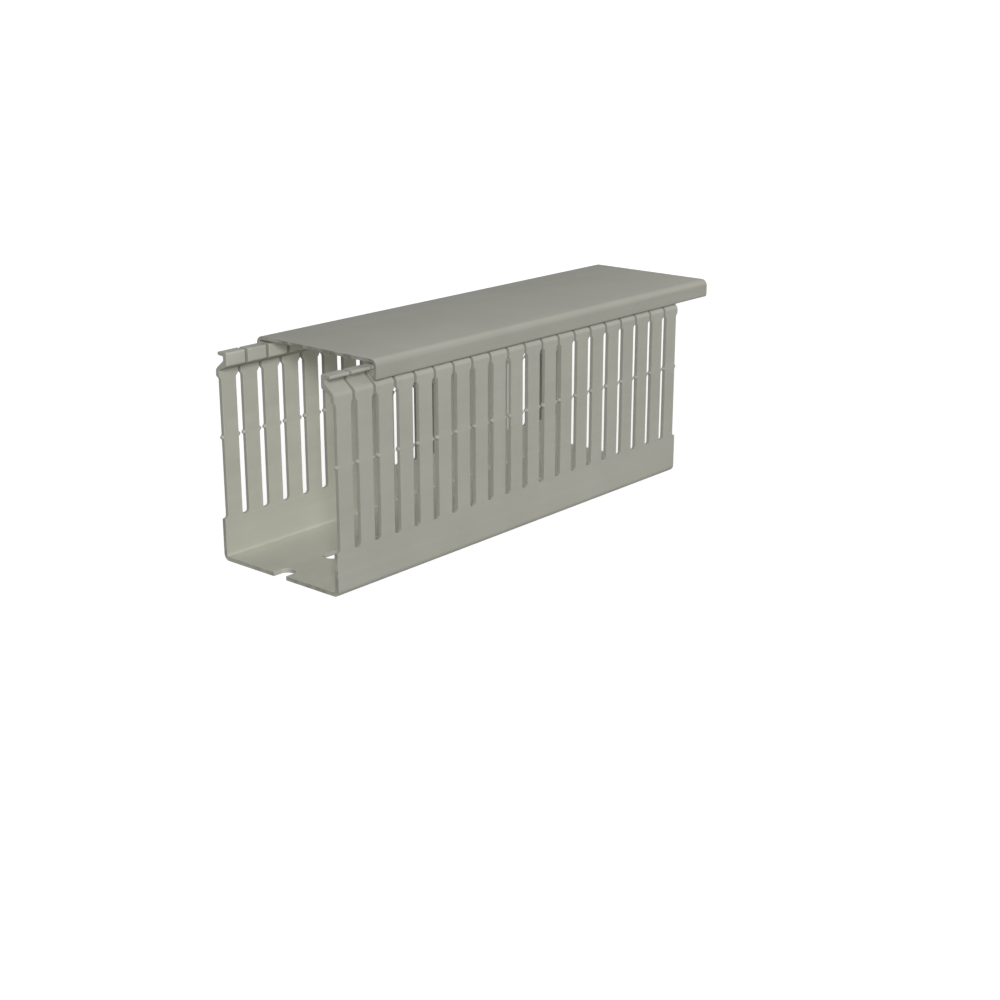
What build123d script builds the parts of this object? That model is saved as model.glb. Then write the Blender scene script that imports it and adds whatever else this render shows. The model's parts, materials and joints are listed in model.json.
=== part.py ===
from build123d import *
import os

# Slotted wiring duct with a clip-on cover, a length cut from bar stock.
# Millimetres. X runs along the length, Y across, Z up. The origin is the
# centre of the middle fixing slot, on the underside of the base.

# Duct: lengths and the pitch of the two punched patterns
duct_length = 200.0
finger_pitch = 10.0
fixing_pitch = 25.0
near_end_to_first_fixing_centre = 2.0
fixing_to_origin_count = 4

# Duct: section
duct_width = 60.0
wall_height = 71.7
wall_thickness = 1.7
base_thickness = 1.7
bottom_corner_radius = 2.5
inner_corner_radius = 0.8

# Fingers: the open slot between two of them
slot_width = 3.2
slot_bottom_height = 16.0
slot_corner_radius = 1.1
slot_top_below_wall_top = 3.9
slot_taper_height = 1.25
slit_width = 1.2
nub_above_slot_bottom = 30.4
nub_reach = 0.65
nub_half_height = 1.0

# Head of a finger: the wall bends in over a shoulder to a neck, and a lip stands
# out from the neck's top, its upper corners rounded by a share of its thickness.
# Inside, the head hangs over the wall and steps back to it in a flatter slope.
bend_height = 3.35
neck_depth = 4.2
neck_height = 1.65
lip_reach = 2.8
lip_thickness = 1.4
head_thickness = 1.9
head_foot_below_neck = 1.85
step_foot_below_shoulder = 0.6
shoulder_radius = 2.4
head_foot_radius = 0.8
lip_rounding = 0.44

# Fixing slots in the base
fixing_width = 6.4
fixing_length = 9.0

# Cover
cover_length = 200.0
cover_slid = 20.4
cover_thickness = 1.3
cover_corner_radius = 2.6
skirt_radius = 0.9
clearance = 0.3
cover_head_room = 0.9

near_end = -(near_end_to_first_fixing_centre + fixing_to_origin_count * fixing_pitch)
far_end = near_end + duct_length
wall_outer = duct_width / 2
wall_inner = wall_outer - wall_thickness
neck_outer = wall_outer - neck_depth
head_inner = neck_outer - head_thickness
lip_outer = neck_outer + lip_reach
neck_bottom_height = wall_height + bend_height
neck_top_height = neck_bottom_height + neck_height
lip_top_height = neck_top_height + lip_thickness
lip_radius = lip_rounding * lip_thickness

# The bend rises by bend_slope for each millimetre inwards. A face parallel to it
# at a distance t lies t * bend_stretch higher.
bend_slope = bend_height / neck_depth
bend_stretch = (1 + bend_slope ** 2) ** 0.5

cut_beyond = 10.0
same_place = 0.01


def corners(face, places, radius):
    """Round the corners of a face that lie at the given (y, z) places."""
    chosen = [
        vertex
        for vertex in face.vertices()
        for place in places
        if abs(vertex.Y - place[0]) < same_place and abs(vertex.Z - place[1]) < same_place
    ]
    return fillet(chosen, radius)


def half_section(points):
    """Closed face through (y, z) points of the +Y half of a section."""
    return make_face(Polyline([(0, y, z) for y, z in points], close=True))


def extrude_between(face, start, end):
    """Extrude a section along X from one end position to the other."""
    return Pos(start, 0, 0) * extrude(face, amount=end - start, dir=(1, 0, 0))


def both_sides(solid):
    """Join the +Y half with its mirror image."""
    return solid + mirror(solid, about=Plane.XZ)


# Channel: base, wall and finger head as one drawn profile
bottom_corner = (wall_outer, 0)
inner_corner = (wall_inner, base_thickness)
shoulder = (wall_outer, wall_height)
lip_high = (lip_outer, lip_top_height)
head_top_inner = (head_inner, lip_top_height)
head_foot = (head_inner, neck_bottom_height - head_foot_below_neck)
step_foot = (wall_inner, wall_height - step_foot_below_shoulder)

channel_half = half_section([
    (0, 0),
    bottom_corner,
    shoulder,
    (neck_outer, neck_bottom_height),
    (neck_outer, neck_top_height),
    (lip_outer, neck_top_height),
    lip_high,
    head_top_inner,
    head_foot,
    step_foot,
    inner_corner,
    (0, base_thickness),
])
channel_half = corners(channel_half, [bottom_corner], bottom_corner_radius)
channel_half = corners(channel_half, [inner_corner], inner_corner_radius)
channel_half = corners(channel_half, [shoulder], shoulder_radius)
channel_half = corners(channel_half, [head_foot], head_foot_radius)
channel_half = corners(channel_half, [lip_high, head_top_inner], lip_radius)
duct_base = both_sides(extrude_between(channel_half, near_end, far_end))

# Punched gap between two fingers: rounded foot, a pair of nubs that hold the
# wires down, and a narrow slit through the heads
half_slot = slot_width / 2
half_slit = slit_width / 2
slot_top_height = wall_height - slot_top_below_wall_top
slit_bottom_height = slot_top_height + slot_taper_height
nub_height = slot_bottom_height + nub_above_slot_bottom
slot_edge = [
    (half_slot, slot_bottom_height),
    (half_slot, nub_height - nub_half_height),
    (half_slot - nub_reach, nub_height),
    (half_slot, nub_height + nub_half_height),
    (half_slot, slot_top_height),
    (half_slit, slit_bottom_height),
    (half_slit, lip_top_height + cut_beyond),
]
slot_face = make_face(Polyline(
    [(x, 0, z) for x, z in slot_edge] + [(-x, 0, z) for x, z in reversed(slot_edge)],
    close=True,
))
slot_face = fillet(slot_face.vertices().sort_by(Axis.Z)[:2], slot_corner_radius)
slot_cut = extrude(slot_face, amount=wall_outer + cut_beyond, dir=(0, 1, 0), both=True)
gap_count = round(duct_length / finger_pitch)
slot_cuts = [Pos(near_end + i * finger_pitch, 0, 0) * slot_cut for i in range(gap_count + 1)]
duct_base -= slot_cuts

# Row of round-ended fixing slots down the middle of the base
fixing_cut = extrude(
    SlotOverall(fixing_length, fixing_width),
    amount=base_thickness + cut_beyond,
    both=True,
)
fixing_count = int(duct_length // fixing_pitch) + 1
fixing_cuts = [
    Pos((i - fixing_to_origin_count) * fixing_pitch, 0, 0) * fixing_cut
    for i in range(fixing_count)
]
duct_base -= fixing_cuts

# Cover: a shallow channel whose edges turn in under the lips of the fingers and
# follow the bend down to the inside of the skirt
cover_inner = lip_outer + clearance
cover_outer = cover_inner + cover_thickness
cover_underside = lip_top_height + cover_head_room
cover_top = cover_underside + cover_thickness
edge_top_height = neck_top_height - clearance
edge_tip_inner = neck_outer + clearance


def above_bend(y):
    """Height at y of the line that keeps the clearance over the bend."""
    return wall_height + (wall_outer - y) * bend_slope + clearance * bend_stretch


skirt_bottom_height = above_bend(cover_inner)
skirt_outer_bottom = (cover_outer, skirt_bottom_height)
cover_corner = (cover_outer, cover_top)
cover_inner_corner = (cover_inner, cover_underside)

cover_half = half_section([
    (0, cover_underside),
    cover_inner_corner,
    (cover_inner, edge_top_height),
    (edge_tip_inner, edge_top_height),
    (edge_tip_inner, above_bend(edge_tip_inner)),
    (cover_inner, skirt_bottom_height),
    skirt_outer_bottom,
    cover_corner,
    (0, cover_top),
])
cover_half = corners(cover_half, [cover_corner], cover_corner_radius)
cover_half = corners(cover_half, [cover_inner_corner], cover_corner_radius - cover_thickness)
cover_half = corners(cover_half, [skirt_outer_bottom], skirt_radius)
cover_start = near_end + cover_slid
cover = both_sides(extrude_between(cover_half, cover_start, cover_start + cover_length))

os.makedirs("parts", exist_ok=True)
export_step(duct_base, "parts/duct_base.step")
export_step(cover, "parts/cover.step")
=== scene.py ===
"""The looks of a slotted wiring duct and its clip-on cover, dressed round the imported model.

Lengths are metres in the model's own frame: X along the duct, Y across it, Z up from
the underside of the base.
"""

import json
import logging
import math
from collections.abc import Callable
from dataclasses import dataclass, field
from enum import Enum

import bpy
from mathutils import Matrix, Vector

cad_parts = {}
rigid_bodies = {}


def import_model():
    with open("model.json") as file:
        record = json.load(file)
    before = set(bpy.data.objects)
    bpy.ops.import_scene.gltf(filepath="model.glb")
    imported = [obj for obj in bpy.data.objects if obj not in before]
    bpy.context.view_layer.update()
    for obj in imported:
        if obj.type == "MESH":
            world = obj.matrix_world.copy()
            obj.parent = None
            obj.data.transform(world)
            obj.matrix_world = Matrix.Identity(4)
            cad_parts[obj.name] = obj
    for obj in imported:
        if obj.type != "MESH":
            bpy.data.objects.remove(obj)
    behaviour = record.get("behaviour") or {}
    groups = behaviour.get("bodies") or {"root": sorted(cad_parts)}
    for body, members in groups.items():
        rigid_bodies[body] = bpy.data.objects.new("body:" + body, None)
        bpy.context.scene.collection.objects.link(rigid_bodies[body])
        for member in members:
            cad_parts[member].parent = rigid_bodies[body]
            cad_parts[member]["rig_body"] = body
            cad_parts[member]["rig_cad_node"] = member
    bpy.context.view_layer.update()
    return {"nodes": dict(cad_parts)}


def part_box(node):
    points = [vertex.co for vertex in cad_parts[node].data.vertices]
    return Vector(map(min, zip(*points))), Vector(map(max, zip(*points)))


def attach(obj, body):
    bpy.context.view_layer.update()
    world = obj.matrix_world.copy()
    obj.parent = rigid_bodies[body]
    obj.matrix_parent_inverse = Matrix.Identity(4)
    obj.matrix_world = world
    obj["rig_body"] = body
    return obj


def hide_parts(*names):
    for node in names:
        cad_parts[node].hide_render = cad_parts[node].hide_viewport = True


bpy.ops.object.select_all(action="SELECT")
bpy.ops.object.delete()
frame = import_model()

MM = 0.001
EDGE_ATTRIBUTE = "softened_edge"
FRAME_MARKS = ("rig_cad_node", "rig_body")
WHITE = (1.0, 1.0, 1.0, 1.0)

Triple = tuple[float, float, float]
Range = tuple[float, float]
Sockets = bpy.types.bpy_prop_collection
UNIT: Range = (0.0, 1.0)

log = logging.getLogger("wiring_duct")


class MaterialSlot(Enum):
    """The record's material slots."""

    DUCT = "duct_plastic"
    COVER = "cover_plastic"


class Body(Enum):
    """The bodies that the pieces ride on."""

    DUCT = "duct"
    LID = "lid"


class MixKind(Enum):
    """What a Mix node mixes, with the places of its two inputs and its output."""

    NUMBER = ("FLOAT", 2, 3, 0)
    COLOUR = ("RGBA", 6, 7, 2)


def select_only(piece: bpy.types.Object) -> None:
    """Make a piece the only selected and active object.

    Args:
        piece: The object that the next operators act on.
    """
    bpy.ops.object.select_all(action="DESELECT")
    piece.select_set(True)
    bpy.context.view_layer.objects.active = piece


class Graph:
    """Adds and joins nodes in one node tree."""

    def __init__(self, tree: bpy.types.NodeTree) -> None:
        """Keep the material's, world's or group's tree that the nodes go into."""
        self.tree = tree

    def add(self, kind: str, **settings: object) -> bpy.types.Node:
        """Add one node.

        Args:
            kind: The node's type name without its leading ShaderNode or NodeGroup.
            settings: Properties to set on the node.

        Returns:
            The new node.
        """
        prefix = "" if kind.startswith("NodeGroup") else "ShaderNode"
        node = self.tree.nodes.new(prefix + kind)
        for name, value in settings.items():
            setattr(node, name, value)
        return node

    def feed(self, target: bpy.types.NodeSocket, source: object) -> None:
        """Join a socket to an input, or set the input to a plain value.

        Args:
            target: The input socket.
            source: An output socket, a number, a vector or a colour.
        """
        if isinstance(source, bpy.types.NodeSocket):
            self.tree.links.new(source, target)
        else:
            target.default_value = source

    def math(self, operation: str, first: object, second: object = 0.0) -> bpy.types.NodeSocket:
        """Add a Math node.

        Args:
            operation: The operation's name.
            first: The first operand, a socket or a number.
            second: The second operand, a socket or a number.

        Returns:
            The result's socket.
        """
        node = self.add("Math", operation=operation)
        self.feed(node.inputs[0], first)
        self.feed(node.inputs[1], second)
        return node.outputs[0]

    def spread(self, value: object, source: Range, target: Range = UNIT) -> bpy.types.NodeSocket:
        """Map a range of values to another with a Map Range node, clamped.

        Args:
            value: The socket to map.
            source: The two values that become the ends of the new range.
            target: The ends of the new range.

        Returns:
            The mapped socket.
        """
        node = self.add("MapRange")
        names = ("Value", "From Min", "From Max", "To Min", "To Max")
        for name, given in zip(names, (value, *source, *target)):
            self.feed(node.inputs[name], given)
        return node.outputs["Result"]

    def parts(self, vector: object) -> Sockets:
        """Split a vector into its parts.

        Args:
            vector: The vector to split.

        Returns:
            The sockets of its X, Y and Z.
        """
        node = self.add("SeparateXYZ")
        self.feed(node.inputs[0], vector)
        return node.outputs

    def noise(
        self, place: object, scale: object, detail: float = 2.0, roughness: float = 0.5
    ) -> bpy.types.NodeSocket:
        """Add a noise texture.

        Args:
            place: The coordinates to read.
            scale: Cells per unit of the coordinates.
            detail: The number of finer layers.
            roughness: The strength of the finer layers.

        Returns:
            The noise value's socket.
        """
        node = self.add("TexNoise")
        self.feed(node.inputs["Vector"], place)
        self.feed(node.inputs["Scale"], scale)
        self.feed(node.inputs["Detail"], detail)
        self.feed(node.inputs["Roughness"], roughness)
        return node.outputs["Fac"]

    def stretch(self, place: object, factors: object) -> bpy.types.NodeSocket:
        """Multiply coordinates by one factor along each axis.

        Args:
            place: The coordinates.
            factors: The factors along X, Y and Z, a socket or three numbers.

        Returns:
            The stretched coordinates.
        """
        node = self.add("VectorMath", operation="MULTIPLY")
        self.feed(node.inputs[0], place)
        self.feed(node.inputs[1], factors)
        return node.outputs[0]

    def mix(
        self, share: object, first: object, second: object, kind: MixKind = MixKind.COLOUR
    ) -> bpy.types.NodeSocket:
        """Mix two colours or two numbers.

        Args:
            share: How much of the second one shows, from 0 to 1.
            first: The colour or number at 0.
            second: The colour or number at 1.
            kind: Whether colours or numbers are mixed.

        Returns:
            The mixture's socket.
        """
        data_type, first_input, second_input, output = kind.value
        node = self.add("Mix", data_type=data_type)
        self.feed(node.inputs[0], share)
        self.feed(node.inputs[first_input], first)
        self.feed(node.inputs[second_input], second)
        return node.outputs[output]


def empty_graph(owner: bpy.types.Material | bpy.types.World) -> Graph:
    """Give a new material or world its nodes, with none in place yet.

    Args:
        owner: The material or world.

    Returns:
        Its graph.
    """
    owner.use_nodes = True
    owner.node_tree.nodes.clear()
    return Graph(owner.node_tree)


class EffectGroup:
    """A shader node group with named inputs and outputs, built once and then shared."""

    title = ""
    inputs: tuple[tuple[str, str], ...] = ()
    outputs: tuple[tuple[str, str], ...] = ()

    def tree(self) -> bpy.types.NodeTree:
        """Find the group's tree, or build it on first use.

        Returns:
            The tree, the same one each time.
        """
        made = bpy.data.node_groups.get(self.title)
        if made is None:
            made = bpy.data.node_groups.new(self.title, "ShaderNodeTree")
            for name, kind in self.inputs:
                made.interface.new_socket(name=name, in_out="INPUT", socket_type=kind)
            for name, kind in self.outputs:
                made.interface.new_socket(name=name, in_out="OUTPUT", socket_type=kind)
            graph = Graph(made)
            given = graph.add("NodeGroupInput").outputs
            self.fill(graph, given, graph.add("NodeGroupOutput").inputs)
        return made

    def fill(self, graph: Graph, given: Sockets, result: Sockets) -> None:
        """Build the nodes between the sockets that come in and those that go out."""
        raise NotImplementedError

    def place(self, graph: Graph, **values: object) -> bpy.types.Node:
        """Put the group into a material with its own values.

        Args:
            graph: The material's graph.
            values: A socket or value for each input, with _ for a space in its name.

        Returns:
            The group's node.
        """
        node = graph.add("Group", node_tree=self.tree())
        for name, value in values.items():
            graph.feed(node.inputs[name.replace("_", " ")], value)
        return node


class DieLines(EffectGroup):
    """Fine lines along X that an extrusion die draws, with slow waves in their depth."""

    title = "die_lines"
    fine_detail = 3.0
    fine_roughness = 0.6
    broad_detail = 2.0
    broad_scale = 0.12
    broad_share = 0.7
    inputs = (
        ("Vector", "NodeSocketVector"),
        ("Line Width", "NodeSocketFloat"),
        ("Run Length", "NodeSocketFloat"),
    )
    outputs = (("Height", "NodeSocketFloat"), ("Tone", "NodeSocketFloat"))

    def fill(self, graph: Graph, given: Sockets, result: Sockets) -> None:
        """Build two layers of stretched noise.

        Args:
            graph: The group's graph.
            given: Vector, Line Width and Run Length, in metres.
            result: Height and Tone, both about 0 to 1.
        """
        fine = graph.math("DIVIDE", 1.0, given["Line Width"])
        along = graph.math("DIVIDE", given["Line Width"], given["Run Length"])
        factors = graph.add("CombineXYZ")
        graph.feed(factors.inputs["X"], along)
        graph.feed(factors.inputs["Y"], 1.0)
        graph.feed(factors.inputs["Z"], 1.0)
        lengthwise = graph.stretch(given["Vector"], factors.outputs[0])
        lines = graph.noise(lengthwise, fine, self.fine_detail, self.fine_roughness)
        coarse = graph.math("MULTIPLY", fine, self.broad_scale)
        broad = graph.noise(lengthwise, coarse, self.broad_detail)
        graph.feed(result["Height"], lines)
        graph.feed(result["Tone"], graph.mix(self.broad_share, lines, broad, MixKind.NUMBER))


class MouldedGrain(EffectGroup):
    """The slight unevenness of hard plastic: a fine pebble and a slow cloudiness."""

    title = "plastic_grain"
    grain_detail = 2.0
    cloud_detail = 4.0
    cloud_roughness = 0.55
    inputs = (
        ("Vector", "NodeSocketVector"),
        ("Grain Size", "NodeSocketFloat"),
        ("Cloud Size", "NodeSocketFloat"),
    )
    outputs = (("Height", "NodeSocketFloat"), ("Cloud", "NodeSocketFloat"))

    def fill(self, graph: Graph, given: Sockets, result: Sockets) -> None:
        """Build the fine and the slow noise.

        Args:
            graph: The group's graph.
            given: Vector, Grain Size and Cloud Size, in metres.
            result: Height and Cloud, both about 0 to 1.
        """
        place = given["Vector"]
        grain_scale = graph.math("DIVIDE", 1.0, given["Grain Size"])
        graph.feed(result["Height"], graph.noise(place, grain_scale, self.grain_detail))
        cloud_scale = graph.math("DIVIDE", 1.0, given["Cloud Size"])
        cloud = graph.noise(place, cloud_scale, self.cloud_detail, self.cloud_roughness)
        graph.feed(result["Cloud"], cloud)


class WearAndPipHighlight(EffectGroup):
    """Where a softened edge is rubbed paler, or a pip is painted paler as a painted highlight,
    broken up along its length.
    """

    title = "edge_rub_and_pip_highlight"
    patch_detail = 3.0
    patch_range: Range = (0.42, 0.62)
    inputs = (
        ("Vector", "NodeSocketVector"),
        ("Edge", "NodeSocketFloat"),
        ("Patch Size", "NodeSocketFloat"),
        ("Amount", "NodeSocketFloat"),
    )
    outputs = (("Mask", "NodeSocketFloat"),)

    def fill(self, graph: Graph, given: Sockets, result: Sockets) -> None:
        """Multiply the edge by a patchy noise.

        Args:
            graph: The group's graph.
            given: Vector, Edge, Patch Size in metres and Amount.
            result: Mask, from 0 to 1.
        """
        scale = graph.math("DIVIDE", 1.0, given["Patch Size"])
        noise = graph.noise(given["Vector"], scale, self.patch_detail)
        worn = graph.math("MULTIPLY", given["Edge"], graph.spread(noise, self.patch_range))
        graph.feed(result["Mask"], graph.math("MULTIPLY", worn, given["Amount"]))


class DustFilm(EffectGroup):
    """A thin film of dust on the faces that look up."""

    title = "dust_film"
    upward_range: Range = (0.5, 0.95)
    patch_detail = 5.0
    patch_roughness = 0.6
    patch_range: Range = (0.35, 0.75)
    inputs = (
        ("Vector", "NodeSocketVector"),
        ("Normal", "NodeSocketVector"),
        ("Patch Size", "NodeSocketFloat"),
        ("Amount", "NodeSocketFloat"),
    )
    outputs = (("Mask", "NodeSocketFloat"),)

    def fill(self, graph: Graph, given: Sockets, result: Sockets) -> None:
        """Multiply how far a face looks up by a patchy noise.

        Args:
            graph: The group's graph.
            given: Vector, Normal, Patch Size in metres and Amount.
            result: Mask, from 0 to 1.
        """
        upward = graph.spread(graph.parts(given["Normal"])["Z"], self.upward_range)
        scale = graph.math("DIVIDE", 1.0, given["Patch Size"])
        noise = graph.noise(given["Vector"], scale, self.patch_detail, self.patch_roughness)
        film = graph.math("MULTIPLY", upward, graph.spread(noise, self.patch_range))
        graph.feed(result["Mask"], graph.math("MULTIPLY", film, given["Amount"]))


class CutFace(EffectGroup):
    """Which faces a punch or a saw cut across the extrusion, with the fine lines it leaves."""

    title = "cut_face"
    lengthwise_range: Range = (0.35, 0.75)
    line_stretch: Triple = (1.0, 0.08, 1.0)
    line_detail = 3.0
    line_roughness = 0.6
    inputs = (
        ("Vector", "NodeSocketVector"),
        ("Normal", "NodeSocketVector"),
        ("Line Width", "NodeSocketFloat"),
        ("Low End", "NodeSocketFloat"),
        ("High End", "NodeSocketFloat"),
        ("End Reach", "NodeSocketFloat"),
    )
    outputs = (
        ("Mask", "NodeSocketFloat"),
        ("Sawn", "NodeSocketFloat"),
        ("Height", "NodeSocketFloat"),
    )

    def fill(self, graph: Graph, given: Sockets, result: Sockets) -> None:
        """Tell cut faces by their lengthwise normal and draw lines across the wall.

        Args:
            graph: The group's graph.
            given: Vector, Normal, Line Width, and where the piece's two sawn ends lie
                along X and how near to them a face must be to count, all in metres.
            result: Mask for every cut face and Sawn for the ends, from 0 to 1, and
                Height, about 0 to 1.
        """
        lengthwise = graph.math("ABSOLUTE", graph.parts(given["Normal"])["X"])
        cut = graph.spread(lengthwise, self.lengthwise_range)
        graph.feed(result["Mask"], cut)
        along = graph.parts(given["Vector"])["X"]
        from_low = graph.math("SUBTRACT", along, given["Low End"])
        from_high = graph.math("SUBTRACT", given["High End"], along)
        nearest = graph.math("MINIMUM", from_low, from_high)
        at_end = graph.math("LESS_THAN", nearest, given["End Reach"])
        graph.feed(result["Sawn"], graph.math("MULTIPLY", cut, at_end))
        scale = graph.math("DIVIDE", 1.0, given["Line Width"])
        across = graph.stretch(given["Vector"], self.line_stretch)
        lines = graph.noise(across, scale, self.line_detail, self.line_roughness)
        graph.feed(result["Height"], lines)


class PaintedLightInside(EffectGroup):
    """Which faces look into the channel, the inner walls and the top of the base, which get painted
    light.
    """

    title = "inside_faces_for_painted_light"
    inward_range: Range = (-0.2, -0.7)
    upward_range: Range = (0.3, 0.8)
    inputs = (
        ("Vector", "NodeSocketVector"),
        ("Normal", "NodeSocketVector"),
        ("Base Reach", "NodeSocketFloat"),
    )
    outputs = (("Walls", "NodeSocketFloat"), ("Base", "NodeSocketFloat"))

    def fill(self, graph: Graph, given: Sockets, result: Sockets) -> None:
        """Find faces that look towards the middle plane, and low faces that look up.

        Args:
            graph: The group's graph.
            given: Vector, Normal and Base Reach, the height in metres up to which a face
                that looks up belongs to the base.
            result: Walls and Base, each from 0 to 1, and never both in full.
        """
        place = graph.parts(given["Vector"])
        facing = graph.parts(given["Normal"])
        outward = graph.math("MULTIPLY", graph.math("SIGN", place["Y"]), facing["Y"])
        walls = graph.spread(outward, self.inward_range)
        graph.feed(result["Walls"], walls)
        low = graph.math("LESS_THAN", place["Z"], given["Base Reach"])
        upward = graph.math("MULTIPLY", graph.spread(facing["Z"], self.upward_range), low)
        rest = graph.math("SUBTRACT", 1.0, walls)
        graph.feed(result["Base"], graph.math("MULTIPLY", upward, rest))


class CrownedFace(EffectGroup):
    """The slow arch across a wide extruded face, which tilts it a little towards each edge."""

    title = "crowned_face"
    inputs = (
        ("Vector", "NodeSocketVector"),
        ("Half Width", "NodeSocketFloat"),
        ("Rise", "NodeSocketFloat"),
    )
    outputs = (("Height", "NodeSocketFloat"),)

    def fill(self, graph: Graph, given: Sockets, result: Sockets) -> None:
        """Build a parabola across the width, highest in the middle.

        Args:
            graph: The group's graph.
            given: Vector, Half Width and Rise, in metres.
            result: Height, in metres.
        """
        across = graph.math("DIVIDE", graph.parts(given["Vector"])["Y"], given["Half Width"])
        fall = graph.math("SUBTRACT", 1.0, graph.math("MULTIPLY", across, across))
        graph.feed(result["Height"], graph.math("MULTIPLY", fall, given["Rise"]))


class PaintedShadeAcross(EffectGroup):
    """Painted shade across a top face, graded from one long edge to the other."""

    title = "painted_shade_across_top"
    upward_range: Range = (0.5, 0.95)
    inputs = (
        ("Vector", "NodeSocketVector"),
        ("Normal", "NodeSocketVector"),
        ("Half Width", "NodeSocketFloat"),
    )
    outputs = (("Tone", "NodeSocketFloat"),)

    def fill(self, graph: Graph, given: Sockets, result: Sockets) -> None:
        """Grade faces that look up from one long edge to the other.

        Args:
            graph: The group's graph.
            given: Vector, Normal and Half Width in metres.
            result: Tone, -1 at the low edge, 1 at the high one and 0 on other faces.
        """
        across = graph.math("DIVIDE", graph.parts(given["Vector"])["Y"], given["Half Width"])
        upward = graph.spread(graph.parts(given["Normal"])["Z"], self.upward_range)
        graph.feed(result["Tone"], graph.math("MULTIPLY", across, upward))


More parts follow.
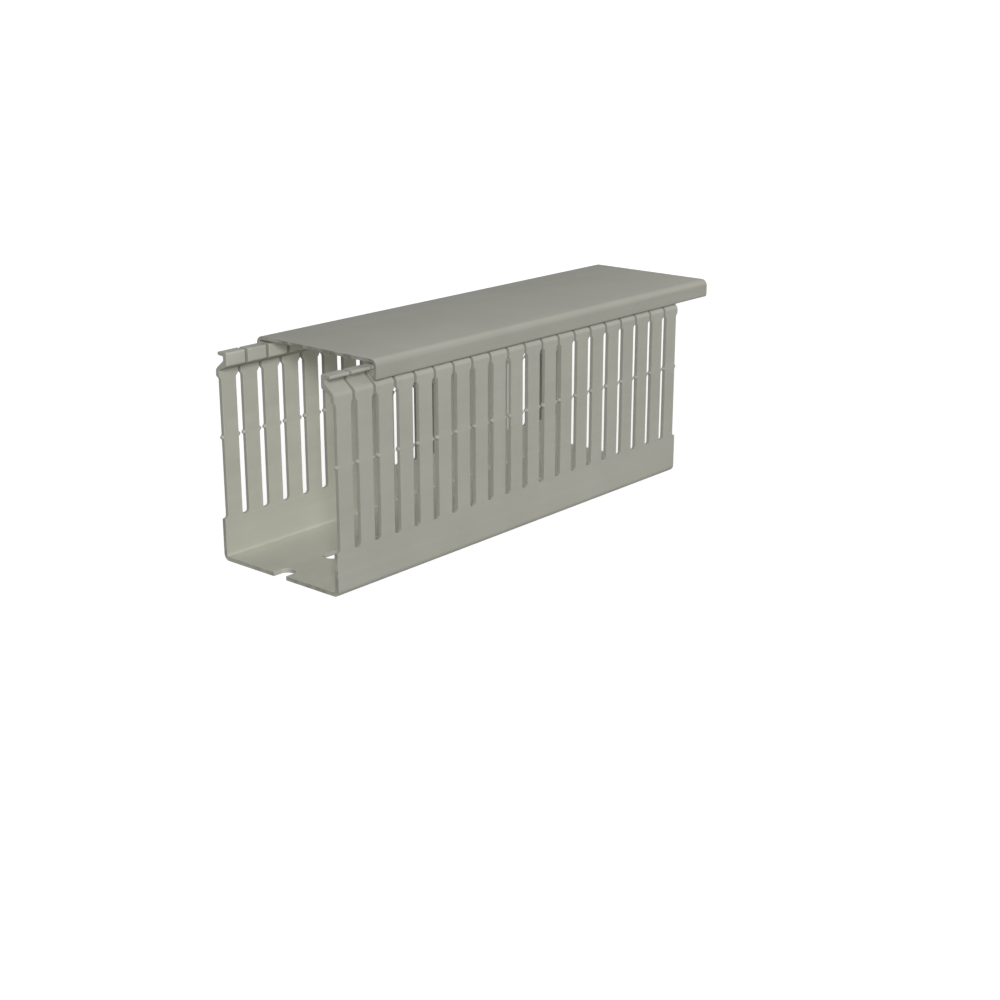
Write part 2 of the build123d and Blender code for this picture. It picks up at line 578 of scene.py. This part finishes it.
@dataclass(frozen=True)
class PlasticFinish:
    """Hard matte plastic, coloured right through, as it comes off an extrusion line."""

    title: str
    colour: Triple
    ends: Range
    crown_rise: float = 0.0
    # Painted shade across the top: the tone at the front edge and at the rear edge.
    painted_shade_tones: Range = (1.0, 1.0)
    half_width: float = 30 * MM
    roughness: float = 0.52
    roughness_swing: float = 0.05
    shine: float = 0.1
    cloud_share: float = 0.04
    cloud_range: Range = (0.3, 0.7)
    cloud_size: float = 28 * MM
    grain_size: float = 0.35 * MM
    grain_depth: float = 0.004 * MM
    line_share: float = 0.03
    line_range: Range = (0.35, 0.65)
    line_width: float = 0.6 * MM
    line_run: float = 70 * MM
    line_depth: float = 0.006 * MM
    # Painted shade: faces cut across the extrusion are darkened as faces turned from the light, and
    # the sawn ends more.
    cut_face_painted_shade: float = 0.82
    sawn_end_painted_shade: float = 0.81
    sawn_reach: float = 0.3 * MM
    cut_roughness: float = 0.2
    cut_line_width: float = 0.25 * MM
    cut_depth: float = 0.02 * MM
    # Painted light: faces inside the channel are made paler, so that the inside looks as lit as the
    # outside.
    inner_wall_painted_light: float = 1.22
    inner_base_painted_light: float = 1.4
    painted_light_base_height: float = 10 * MM
    # Paler rubbed edges, and pips painted paler as a painted highlight.
    rub_and_highlight_lift: float = 1.16
    worn_amount: float = 0.5
    worn_patch: float = 4 * MM
    dust_colour: Triple = (0.42, 0.415, 0.39)
    dust_amount: float = 0.1
    dust_patch: float = 9 * MM
    dust_roughness: float = 0.3

    def shade(self, factor: float) -> tuple[float, float, float, float]:
        """Return the finish's colour with each part times a factor, opaque."""
        return tuple(part * factor for part in self.colour) + (1.0,)

    def colour_of(self, graph: Graph, effects: dict[str, Sockets]) -> bpy.types.NodeSocket:
        """Work out the colour from the plastic's own tone, painted light inside the channel,
        painted shade on cut faces and across the cover's top, rubbed edges, pips painted paler and
        its dust.

        Args:
            graph: The material's graph.
            effects: The outputs of each effect's group.

        Returns:
            The colour's socket.
        """
        level: object = 1.0
        for effect, output, source, factors in (
            ("grain", "Cloud", self.cloud_range, (1.0 - self.cloud_share, 1.0 + self.cloud_share)),
            ("lines", "Tone", self.line_range, (1.0 - self.line_share, 1.0 + self.line_share)),
            # Painted light on the inner walls and on the base inside the channel.
            ("painted_light_inside", "Walls", UNIT, (1.0, self.inner_wall_painted_light)),
            ("painted_light_inside", "Base", UNIT, (1.0, self.inner_base_painted_light)),
            # Painted shade on the cut faces and, more, on the sawn ends.
            ("cut", "Mask", UNIT, (1.0, self.cut_face_painted_shade)),
            ("cut", "Sawn", UNIT, (1.0, self.sawn_end_painted_shade)),
            # Painted shade across the top face, from the front edge to the rear.
            ("painted_shade_across", "Tone", (-1.0, 1.0), self.painted_shade_tones),
        ):
            factor = graph.spread(effects[effect][output], source, factors)
            level = graph.math("MULTIPLY", level, factor)
        plain = graph.add("VectorMath", operation="SCALE")
        graph.feed(plain.inputs[0], self.colour)
        graph.feed(plain.inputs["Scale"], level)
        # Rubbed edges paler, and the pips paler as a painted highlight.
        worn = graph.mix(effects["rub_and_highlight"]["Mask"], plain.outputs[0], self.shade(self.rub_and_highlight_lift))
        return graph.mix(effects["dust"]["Mask"], worn, self.dust_colour + (1.0,))

    def relief_of(self, graph: Graph, effects: dict[str, Sockets]) -> bpy.types.NodeSocket:
        """Turn crown, die lines and grain, or on a cut face the cutter's lines, into a normal.

        Args:
            graph: The material's graph.
            effects: The outputs of each effect's group.

        Returns:
            The normal's socket.
        """
        skin = graph.math(
            "ADD",
            graph.math("MULTIPLY", effects["lines"]["Height"], self.line_depth),
            graph.math("MULTIPLY", effects["grain"]["Height"], self.grain_depth),
        )
        skin = graph.math("ADD", skin, effects["crown"]["Height"])
        cutter = graph.math("MULTIPLY", effects["cut"]["Height"], self.cut_depth)
        bump = graph.add("Bump")
        graph.feed(bump.inputs["Strength"], 1.0)
        graph.feed(bump.inputs["Distance"], 1.0)
        height = graph.mix(effects["cut"]["Mask"], skin, cutter, MixKind.NUMBER)
        graph.feed(bump.inputs["Height"], height)
        return bump.outputs["Normal"]

    def roughness_of(self, graph: Graph, effects: dict[str, Sockets]) -> bpy.types.NodeSocket:
        """Add the die lines, the cut faces and the dust to the plastic's roughness.

        Args:
            graph: The material's graph.
            effects: The outputs of each effect's group.

        Returns:
            The roughness's socket.
        """
        swing = (self.roughness - self.roughness_swing, self.roughness + self.roughness_swing)
        rough = graph.spread(effects["lines"]["Tone"], self.line_range, swing)
        for effect, amount in (("cut", self.cut_roughness), ("dust", self.dust_roughness)):
            more = graph.math("MULTIPLY", effects[effect]["Mask"], amount)
            rough = graph.math("ADD", rough, more)
        return rough

    def material(self) -> bpy.types.Material:
        """Build the finish as a node material.

        Returns:
            The material.
        """
        made = bpy.data.materials.new(self.title)
        graph = empty_graph(made)
        place = graph.add("TexCoord").outputs["Object"]
        facing = graph.add("NewGeometry").outputs["Normal"]
        edge = graph.add("Attribute", attribute_name=EDGE_ATTRIBUTE).outputs["Fac"]
        groups = {
            "lines": DieLines().place(
                graph, Vector=place, Line_Width=self.line_width, Run_Length=self.line_run
            ),
            "grain": MouldedGrain().place(
                graph, Vector=place, Grain_Size=self.grain_size, Cloud_Size=self.cloud_size
            ),
            "rub_and_highlight": WearAndPipHighlight().place(
                graph,
                Vector=place,
                Edge=edge,
                Patch_Size=self.worn_patch,
                Amount=self.worn_amount,
            ),
            "dust": DustFilm().place(
                graph,
                Vector=place,
                Normal=facing,
                Patch_Size=self.dust_patch,
                Amount=self.dust_amount,
            ),
            "cut": CutFace().place(
                graph,
                Vector=place,
                Normal=facing,
                Line_Width=self.cut_line_width,
                Low_End=self.ends[0],
                High_End=self.ends[1],
                End_Reach=self.sawn_reach,
            ),
            "painted_light_inside": PaintedLightInside().place(
                graph, Vector=place, Normal=facing, Base_Reach=self.painted_light_base_height
            ),
            "crown": CrownedFace().place(
                graph, Vector=place, Half_Width=self.half_width, Rise=self.crown_rise
            ),
            "painted_shade_across": PaintedShadeAcross().place(
                graph, Vector=place, Normal=facing, Half_Width=self.half_width
            ),
        }
        effects = {name: node.outputs for name, node in groups.items()}
        shader = graph.add("BsdfPrincipled")
        graph.feed(shader.inputs["Base Color"], self.colour_of(graph, effects))
        graph.feed(shader.inputs["Roughness"], self.roughness_of(graph, effects))
        graph.feed(shader.inputs["Specular IOR Level"], self.shine)
        graph.feed(shader.inputs["Normal"], self.relief_of(graph, effects))
        output = graph.add("OutputMaterial")
        graph.feed(output.inputs["Surface"], shader.outputs["BSDF"])
        return made


@dataclass(frozen=True)
class RoundedEdge:
    """A lengthwise edge of the section that the die rounds."""

    across: float
    height: float
    radius: float
    segments: int = 5
    reach: float = 0.02 * MM

    def holds(self, start: Vector, end: Vector) -> bool:
        """Tell whether an edge between two points lies on this edge or its mirror image.

        Args:
            start: One end of the edge.
            end: Its other end.

        Returns:
            Whether both points lie on it.
        """
        return all(
            abs(abs(point.y) - self.across) < self.reach and abs(point.z - self.height) < self.reach
            for point in (start, end)
        )


@dataclass
class ExtrudedPiece:
    """One extruded piece, modelled from its own solid with the edges that die and punch leave."""

    node: str
    name: str
    body: Body
    slot: MaterialSlot
    edge_softness: float = 0.22 * MM
    edge_segments: int = 2
    face_weight: int = 100
    merge_reach: float = 0.001 * MM
    flat_angle: float = math.radians(0.5)
    sharp_angle: float = math.radians(50)

    def ends(self) -> Range:
        """Return where the piece's two sawn ends lie along X."""
        low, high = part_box(self.node)
        return low[0], high[0]

    def finish(self) -> PlasticFinish:
        """Return the piece's finish."""
        raise NotImplementedError

    def rounded_edges(self) -> list[RoundedEdge]:
        """Return the lengthwise edges to round before the rest are softened."""
        return []

    def add_details(self, piece: bpy.types.Object) -> None:
        """Join small details to the piece, where it has any."""

    def build(self) -> bpy.types.Object:
        """Model the piece, seat it on its body and finish it.

        Returns:
            The finished piece.
        """
        piece = self.copy_solid()
        for rounded in self.rounded_edges():
            self.round_edge(piece, rounded)
        self.soften_edges(piece)
        self.add_details(piece)
        self.smooth(piece)
        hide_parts(self.node)
        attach(piece, self.body.value)
        piece.data.materials.clear()
        piece.data.materials.append(self.finish().material())
        return piece

    def copy_solid(self) -> bpy.types.Object:
        """Copy the solid's mesh, merge its corners and join its flat faces.

        Returns:
            The copy, at the origin.
        """
        select_only(frame["nodes"][self.node])
        bpy.ops.object.duplicate()
        piece = bpy.context.active_object
        piece.name = self.name
        piece.data.name = self.name
        piece.parent = None
        for mark in FRAME_MARKS:
            del piece[mark]
        bpy.ops.mesh.customdata_custom_splitnormals_clear()
        bpy.ops.object.mode_set(mode="EDIT")
        bpy.ops.mesh.select_mode(type="VERT")
        bpy.ops.mesh.select_all(action="SELECT")
        bpy.ops.mesh.mark_sharp(clear=True)
        bpy.ops.mesh.remove_doubles(threshold=self.merge_reach)
        bpy.ops.mesh.dissolve_limited(angle_limit=self.flat_angle)
        bpy.ops.object.mode_set(mode="OBJECT")
        return piece

    def select_edges(
        self, piece: bpy.types.Object, wanted: Callable[[Vector, Vector], bool]
    ) -> None:
        """Select the edges whose two ends pass a test, in object mode.

        Args:
            piece: The piece.
            wanted: Takes an edge's two ends and tells whether it is selected.
        """
        mesh = piece.data
        for vertex in mesh.vertices:
            vertex.select = False
        for face in mesh.polygons:
            face.select = False
        for edge in mesh.edges:
            start, end = (mesh.vertices[index].co for index in edge.vertices)
            edge.select = wanted(start, end)

    def bevel(self, width: float, segments: int) -> None:
        """Bevel the selected edges, in edit mode.

        Args:
            width: How far the bevel reaches on each side of an edge.
            segments: The number of strips across it.
        """
        bpy.ops.mesh.bevel(
            offset=width,
            offset_type="OFFSET",
            segments=segments,
            affect="EDGES",
            clamp_overlap=False,
            loop_slide=False,
        )

    def round_edge(self, piece: bpy.types.Object, rounded: RoundedEdge) -> None:
        """Round one lengthwise edge and its mirror image.

        Args:
            piece: The piece.
            rounded: The edge and its radius.
        """
        self.select_edges(piece, rounded.holds)
        select_only(piece)
        bpy.ops.object.mode_set(mode="EDIT")
        bpy.ops.mesh.select_mode(type="EDGE")
        self.bevel(rounded.radius, rounded.segments)
        bpy.ops.object.mode_set(mode="OBJECT")

    def soften_edges(self, piece: bpy.types.Object) -> None:
        """Soften every sharp edge a little and mark the softened strips in an attribute.

        Args:
            piece: The piece.
        """
        select_only(piece)
        bpy.ops.object.mode_set(mode="EDIT")
        bpy.ops.mesh.select_mode(type="EDGE")
        bpy.ops.mesh.select_all(action="DESELECT")
        bpy.ops.mesh.edges_select_sharp(sharpness=self.sharp_angle)
        self.bevel(self.edge_softness, self.edge_segments)
        bpy.ops.object.mode_set(mode="OBJECT")
        mesh = piece.data
        on_edge = [1.0] * len(mesh.vertices)
        for face in mesh.polygons:
            if not face.select:
                for index in face.vertices:
                    on_edge[index] = 0.0
        attribute = mesh.attributes.new(EDGE_ATTRIBUTE, "FLOAT", "POINT")
        attribute.data.foreach_set("value", on_edge)

    def smooth(self, piece: bpy.types.Object) -> None:
        """Shade the softened edges smoothly and keep the flat faces flat.

        Args:
            piece: The piece.
        """
        select_only(piece)
        bpy.ops.object.shade_smooth()
        weighted = piece.modifiers.new("flat_faces", "WEIGHTED_NORMAL")
        weighted.keep_sharp = False
        weighted.weight = self.face_weight
        bpy.ops.object.modifier_apply(modifier=weighted.name)


@dataclass
class SlottedChannel(ExtrudedPiece):
    """The punched channel: base, finger walls and lipped heads in one piece."""

    node: str = "duct_base"
    name: str = "slotted_channel"
    body: Body = Body.DUCT
    slot: MaterialSlot = MaterialSlot.DUCT
    grey: Triple = (0.385, 0.385, 0.335)
    finger_pitch: float = 10 * MM
    slot_half_width: float = 1.6 * MM
    wall_thickness: float = 1.7 * MM
    pip_height: float = 46.4 * MM
    pip_radii: Triple = (1.1 * MM, 1.0 * MM, 0.85 * MM)
    pip_segments: int = 14
    pip_rings: int = 10
    neck_depth: float = 4.2 * MM
    lip_reach: float = 2.8 * MM
    lip_thickness: float = 1.4 * MM
    lip_radius: float = 0.55 * MM
    neck_radius: float = 0.5 * MM

    def finish(self) -> PlasticFinish:
        """Return the channel's plain grey finish."""
        return PlasticFinish("stone_grey_channel", self.grey, self.ends())

    def rounded_edges(self) -> list[RoundedEdge]:
        """Place the lip's lower edge and the corner between lip and neck.

        Returns:
            The two edges, which their mirror images go with.
        """
        top_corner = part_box(self.node)[1]
        neck_across = top_corner[1] - self.neck_depth
        lip_underside = top_corner[2] - self.lip_thickness
        return [
            RoundedEdge(neck_across + self.lip_reach, lip_underside, self.lip_radius),
            RoundedEdge(neck_across, lip_underside, self.neck_radius),
        ]

    def build_pip(self) -> bpy.types.Object:
        """Model one of the rounded pips that hold the wires back, marked as a rubbed edge so that
        it is painted paler: partly rubbed, partly a painted highlight.

        Returns:
            The pip, centred at the origin.
        """
        bpy.ops.mesh.primitive_uv_sphere_add(
            segments=self.pip_segments, ring_count=self.pip_rings, radius=1.0
        )
        pip = bpy.context.active_object
        pip.name = "pip"
        pip.scale = self.pip_radii
        bpy.ops.object.transform_apply(location=False, rotation=False, scale=True)
        # The whole pip is marked, so that it is painted paler: partly rubbed, partly a painted
        # highlight.
        attribute = pip.data.attributes.new(EDGE_ATTRIBUTE, "FLOAT", "POINT")
        attribute.data.foreach_set("value", [1.0] * len(pip.data.vertices))
        return pip

    def pip_places(self) -> list[Triple]:
        """Place the pips on both edges of every slot, in both walls.

        Returns:
            The pips' centres.
        """
        low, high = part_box(self.node)
        gaps = round((high[0] - low[0]) / self.finger_pitch)
        across = high[1] - self.wall_thickness / 2
        beyond_ends = ((0, -1), (gaps, 1))
        return [
            (low[0] + gap * self.finger_pitch + side * self.slot_half_width, wall, self.pip_height)
            for gap in range(gaps + 1)
            for side in (-1, 1)
            for wall in (-across, across)
            if (gap, side) not in beyond_ends
        ]

    def add_details(self, piece: bpy.types.Object) -> None:
        """Set a pip on each edge of every slot and join them all to the channel.

        Args:
            piece: The channel.
        """
        pip = self.build_pip()
        copies = []
        for place in self.pip_places():
            select_only(pip)
            bpy.ops.object.duplicate()
            copy = bpy.context.active_object
            copy.location = place
            copies.append(copy)
        bpy.data.objects.remove(pip)
        select_only(piece)
        for copy in copies:
            copy.select_set(True)
        bpy.ops.object.join()


@dataclass
class ClipCover(ExtrudedPiece):
    """The cover, whose turned-in edges run under the lips of the fingers."""

    node: str = "cover"
    name: str = "clip_cover"
    body: Body = Body.LID
    slot: MaterialSlot = MaterialSlot.COVER
    grey: Triple = (0.39, 0.39, 0.338)
    crown_rise: float = 2 * MM
    # Painted shade: the top lighter at the front edge and darker at the rear.
    painted_shade_tones: Range = (1.07, 0.69)
    # Painted shade on the cover's sawn ends, darker than on the channel's.
    sawn_end_painted_shade: float = 0.65

    def finish(self) -> PlasticFinish:
        """Finish the cover in grey, with its crown and painted shade that darkens its top towards
        the rear.

        Returns:
            The cover's finish.
        """
        return PlasticFinish(
            "stone_grey_cover",
            self.grey,
            self.ends(),
            crown_rise=self.crown_rise,
            painted_shade_tones=self.painted_shade_tones,
            sawn_end_painted_shade=self.sawn_end_painted_shade,
        )


@dataclass(frozen=True)
class Lamp:
    """A soft square lamp aimed at the middle of the duct."""

    name: str
    direction: Triple
    watts: float
    casts_shadow: bool = True
    distance: float = 3.2
    side: float = 0.9

    def build(self, target: Vector) -> bpy.types.Object:
        """Add the lamp.

        Args:
            target: The point that it faces.

        Returns:
            The lamp's object.
        """
        towards = Vector(self.direction).normalized()
        bpy.ops.object.light_add(type="AREA", location=target + towards * self.distance)
        lamp = bpy.context.active_object
        lamp.name = self.name
        lamp.rotation_euler = towards.to_track_quat("Z", "Y").to_euler()
        lamp.data.shape = "SQUARE"
        lamp.data.size = self.side
        lamp.data.energy = self.watts
        lamp.data.use_shadow = self.casts_shadow
        return lamp


@dataclass
class Studio:
    """A pale floor, a white surround, and soft lamps with two fills that reach inside."""

    target: Vector = field(default_factory=lambda: Vector((0.008, 0.0, 0.04)))
    floor_side: float = 60.0
    floor_colour: Triple = (0.4, 0.4, 0.4)
    floor_lift: float = 0.8
    shadow_range: Range = (0.25, 0.9)
    surround_level: float = 0.1
    lamps: tuple[Lamp, ...] = (
        Lamp("front_lamp", (-0.66, -0.61, 0.44), 66.0),
        Lamp("inside_fill", (-0.6, -0.66, 0.44), 24.0, casts_shadow=False),
        Lamp("back_lamp", (0.12, 0.99, 0.05), 70.0),
        Lamp("back_fill", (0.12, 0.97, -0.2), 24.0, casts_shadow=False),
        Lamp("right_lamp", (0.93, -0.3, 0.25), 44.0),
    )

    def seen_directly(self, graph: Graph) -> bpy.types.NodeSocket:
        """Tell camera, glossy and transmission rays from the others.

        Args:
            graph: The graph of the world's or the floor's material.

        Returns:
            The socket, 1 for those rays and 0 for the others.
        """
        rays = graph.add("LightPath").outputs
        seen = graph.math("MAXIMUM", rays["Is Camera Ray"], rays["Is Glossy Ray"])
        return graph.math("MAXIMUM", seen, rays["Is Transmission Ray"])

    def build_floor(self) -> bpy.types.Object:
        """Add the floor, which the camera sees as white apart from the duct's shadow.

        Near the duct it glows less, so that the lamps' own light makes up the rest.

        Returns:
            The floor's object.
        """
        bpy.ops.mesh.primitive_plane_add(size=self.floor_side)
        floor = bpy.context.active_object
        floor.name = "floor"
        made = bpy.data.materials.new("pale_floor")
        graph = empty_graph(made)
        paper = graph.add("BsdfDiffuse")
        graph.feed(paper.inputs["Color"], self.floor_colour + (1.0,))
        glow = graph.add("Emission")
        distance = graph.add("VectorMath", operation="LENGTH")
        graph.feed(distance.inputs[0], graph.add("TexCoord").outputs["Object"])
        lift = graph.spread(distance.outputs["Value"], self.shadow_range, (self.floor_lift, 1.0))
        strength = graph.math("MULTIPLY", self.seen_directly(graph), lift)
        graph.feed(glow.inputs["Strength"], strength)
        both = graph.add("AddShader")
        graph.feed(both.inputs[0], paper.outputs[0])
        graph.feed(both.inputs[1], glow.outputs[0])
        output = graph.add("OutputMaterial")
        graph.feed(output.inputs["Surface"], both.outputs[0])
        floor.data.materials.append(made)
        return floor

    def build_surround(self) -> None:
        """Set the world: white to the camera, and a soft even light on the duct."""
        world = bpy.data.worlds.new("surround")
        bpy.context.scene.world = world
        graph = empty_graph(world)
        background = graph.add("Background")
        graph.feed(background.inputs["Color"], WHITE)
        strength = graph.spread(self.seen_directly(graph), UNIT, (self.surround_level, 1.0))
        graph.feed(background.inputs["Strength"], strength)
        output = graph.add("OutputWorld")
        graph.feed(output.inputs["Surface"], background.outputs[0])

    def build(self) -> None:
        """Build floor, surround and lamps."""
        self.build_floor()
        self.build_surround()
        for lamp in self.lamps:
            lamp.build(self.target)


@dataclass(frozen=True)
class PhotoCamera:
    """The camera at the photograph's place, for a square picture.

    It looks along +Y turned towards +X and then tilted down, both in radians. The lens
    and the sensor are in millimetres.
    """

    location: Triple = (-0.46771, -0.41638, 0.20612)
    turned: float = 0.8622
    tilted_down: float = 0.3118
    lens: float = 59.334
    sensor: float = 36.0
    clip_range: Range = (0.01, 200.0)

    def build(self) -> bpy.types.Object:
        """Add the camera and make it the scene's own.

        Returns:
            The camera's object.
        """
        ahead = Vector(
            (
                math.sin(self.turned) * math.cos(self.tilted_down),
                math.cos(self.turned) * math.cos(self.tilted_down),
                -math.sin(self.tilted_down),
            )
        )
        bpy.ops.object.camera_add(location=self.location)
        camera = bpy.context.active_object
        camera.name = "photo_camera"
        camera.rotation_euler = ahead.to_track_quat("-Z", "Y").to_euler()
        camera.data.lens = self.lens
        camera.data.sensor_width = self.sensor
        camera.data.clip_start, camera.data.clip_end = self.clip_range
        bpy.context.scene.camera = camera
        return camera


def main() -> None:
    """Build the pieces, dress them and set the studio and the camera."""
    logging.basicConfig(level=logging.INFO, format="%(message)s")
    for part in (SlottedChannel(), ClipCover()):
        piece = part.build()
        log.info("%s: %d faces on %s", piece.name, len(piece.data.polygons), part.body.value)
    Studio().build()
    PhotoCamera().build()
    bpy.context.scene.view_settings.view_transform = "Standard"


if __name__ == "__main__":
    main()
